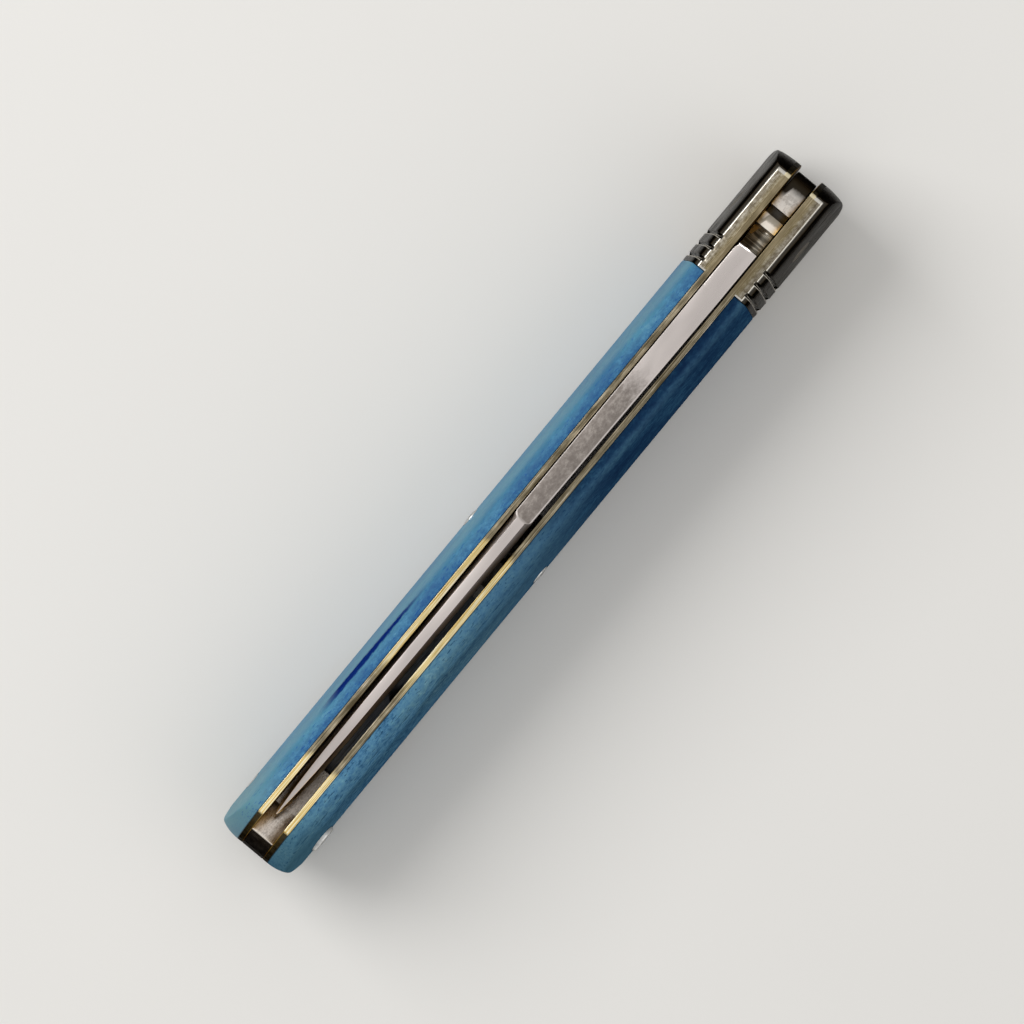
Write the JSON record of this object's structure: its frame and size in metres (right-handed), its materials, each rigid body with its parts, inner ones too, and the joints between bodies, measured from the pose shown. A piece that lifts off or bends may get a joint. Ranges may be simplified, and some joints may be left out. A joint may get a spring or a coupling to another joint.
{
  "type": "lockback folding pocket knife",
  "caption": "Folding lockback pocket knife: a clip blade that swings out of brass-lined bone scales with grooved bolsters and locks open on a sprung back bar.",
  "frame": {"origin": "middle of the flat back that the knife stands on, half way along its length", "axes": "+X from the butt to the bolsters, +Y to the knife's left side, +Z from the back up to the blade slot"},
  "size_m": [0.1064, 0.0117, 0.022],
  "materials": {
    "blade_steel": "satin",
    "spring_steel": "satin",
    "block_steel": "satin",
    "liner_brass": "ground, lightly tarnished",
    "nickel_silver": "polished",
    "dyed_bone": "polished bone, dyed blue and mottled",
    "pin_steel": "polished",
    "washer_bronze": "satin"
  },
  "bodies": {
    "handle": {"left_liner": "liner_brass", "right_liner": "liner_brass", "left_bolster": "nickel_silver", "right_bolster": "nickel_silver", "left_scale": "dyed_bone", "right_scale": "dyed_bone", "rear_block": "block_steel", "lock_spring": "spring_steel", "pivot_pin": "nickel_silver", "rocker_pin": "pin_steel", "rear_pin": "pin_steel", "left_washer": "washer_bronze", "right_washer": "washer_bronze", "left_bolster_rivet_front": "nickel_silver", "left_bolster_rivet_rear": "nickel_silver", "right_bolster_rivet_front": "nickel_silver", "right_bolster_rivet_rear": "nickel_silver"},
    "blade_body": {"blade": "blade_steel"},
    "bar_body": {"lock_bar": "spring_steel"}
  },
  "joints": [
    {"name": "blade_swing", "type": "hinge", "parent": "handle", "child": "blade_body", "pos_m": [0.045, 0, 0.011], "axis": [0, 1, 0], "range_deg": [0, 180]},
    {"name": "lock_rock", "type": "hinge", "parent": "handle", "child": "bar_body", "pos_m": [-0.0052, 0, 0.005], "axis": [0, 1, 0], "range_deg": [-1.05, 1], "stiffness_Nm_per_rad": 1.5, "springref_deg": -2.01}
  ]
}
